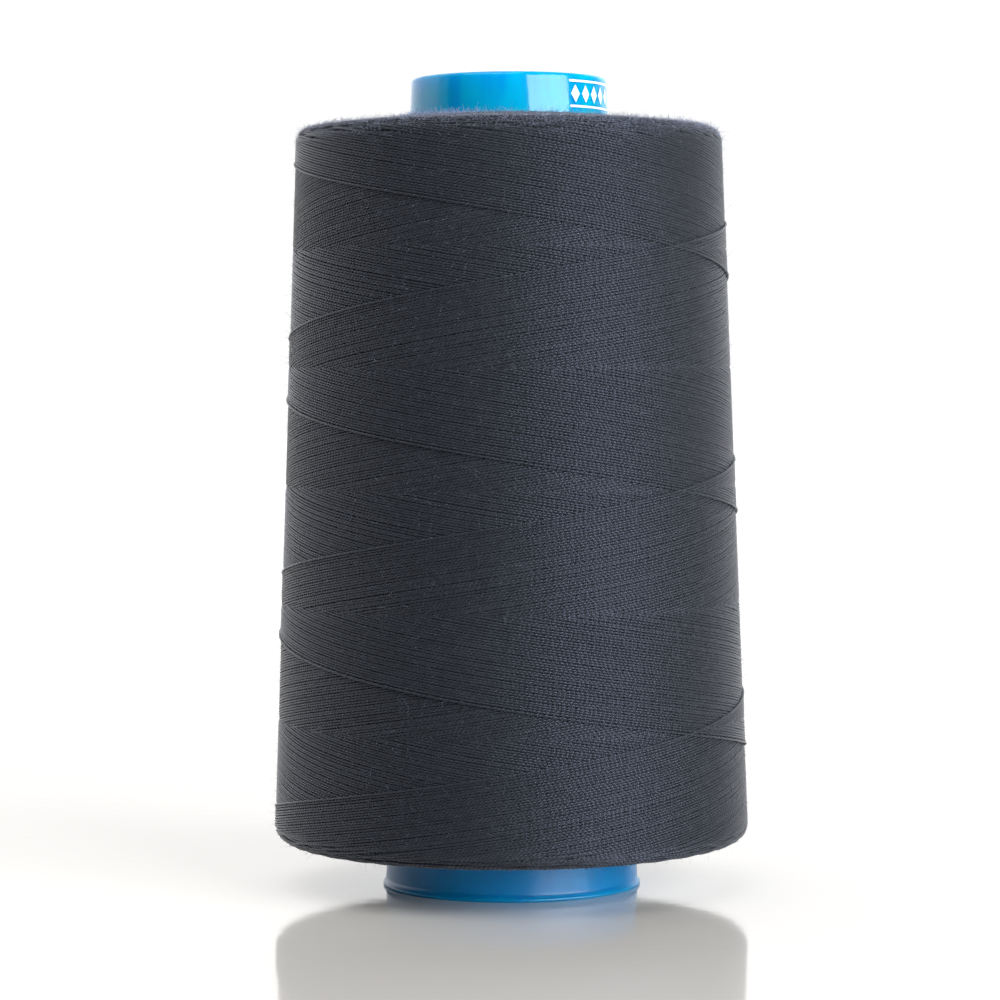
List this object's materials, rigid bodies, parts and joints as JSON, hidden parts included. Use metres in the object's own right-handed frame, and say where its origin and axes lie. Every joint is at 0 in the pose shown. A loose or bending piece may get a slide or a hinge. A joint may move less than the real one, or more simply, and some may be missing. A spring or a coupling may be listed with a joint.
{
  "type": "thread spool",
  "caption": "Tall industrial thread spool: dark sewing thread cross-wound on a slim tapered blue plastic tube, standing on its foot.",
  "frame": {"origin": "centre of the tube's foot, on the surface that it stands on", "axes": "+Z along the tube's axis from the wide foot to the narrow nose; -Y is the front and +X is to its right"},
  "size_m": [0.0672, 0.0672, 0.114],
  "materials": {
    "tube_plastic": "gloss",
    "thread": "matte",
    "ink": "satin"
  },
  "bodies": {
    "root": {"core_tube": "tube_plastic", "printed_mark": "ink", "starter_wraps": "thread", "inner_winding": "thread", "middle_winding": "thread", "outer_winding": "thread"}
  },
  "joints": []
}
